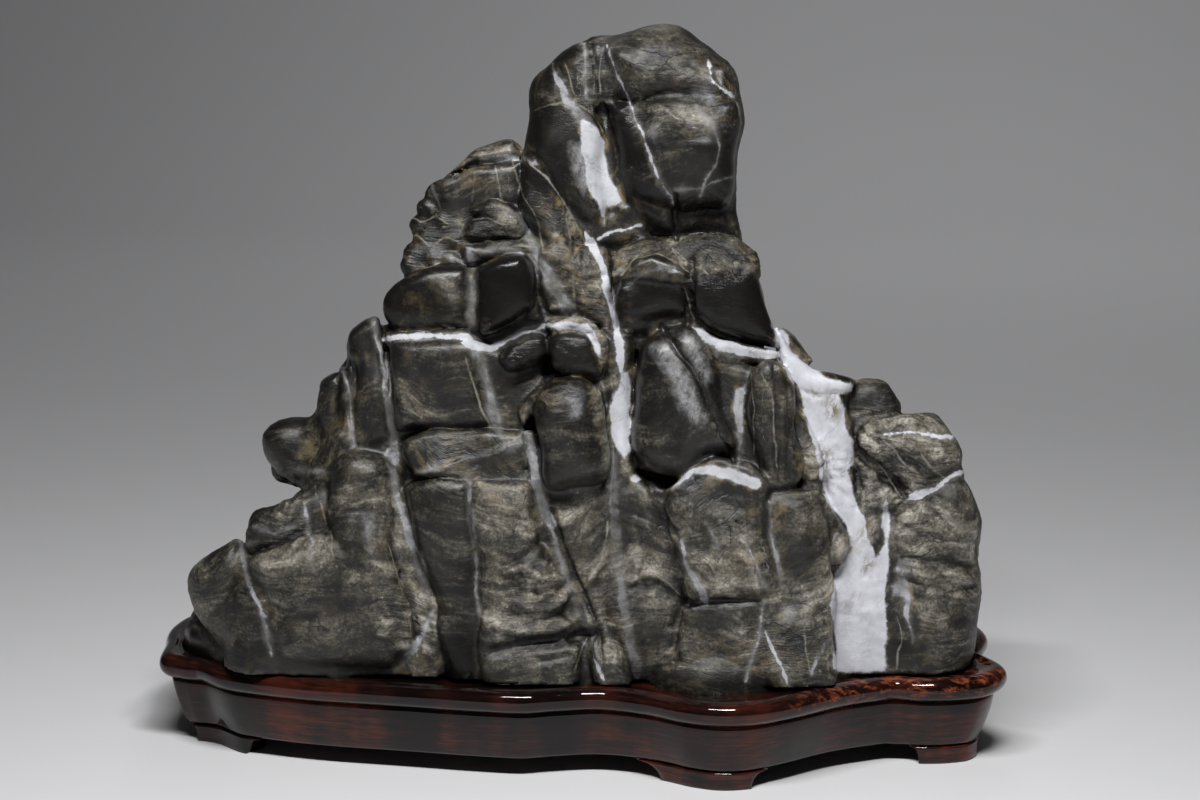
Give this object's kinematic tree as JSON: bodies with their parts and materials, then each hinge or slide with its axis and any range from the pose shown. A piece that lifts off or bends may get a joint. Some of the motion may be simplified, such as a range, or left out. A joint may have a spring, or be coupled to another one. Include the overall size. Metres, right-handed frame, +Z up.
{
  "type": "scholars rock on wooden stand",
  "caption": "Upright mountain-shaped limestone viewing stone with white calcite veins, resting in a fitted lobed hardwood stand on low feet.",
  "frame": {"origin": "centre of the object's bounding box, on the surface the stand's feet rest on", "axes": "+Z up, the front of the rock faces -Y, +X to the right of a viewer in front"},
  "size_m": [0.304, 0.164, 0.257],
  "materials": {
    "limestone": "waxed dark limestone with white calcite veins",
    "rosewood": "dark red-brown gloss lacquer"
  },
  "bodies": {
    "root": {"rock": "limestone", "stand": "rosewood", "foot_front": "rosewood", "foot_left": "rosewood", "foot_right": "rosewood", "foot_back_left": "rosewood", "foot_back_right": "rosewood"}
  },
  "joints": []
}
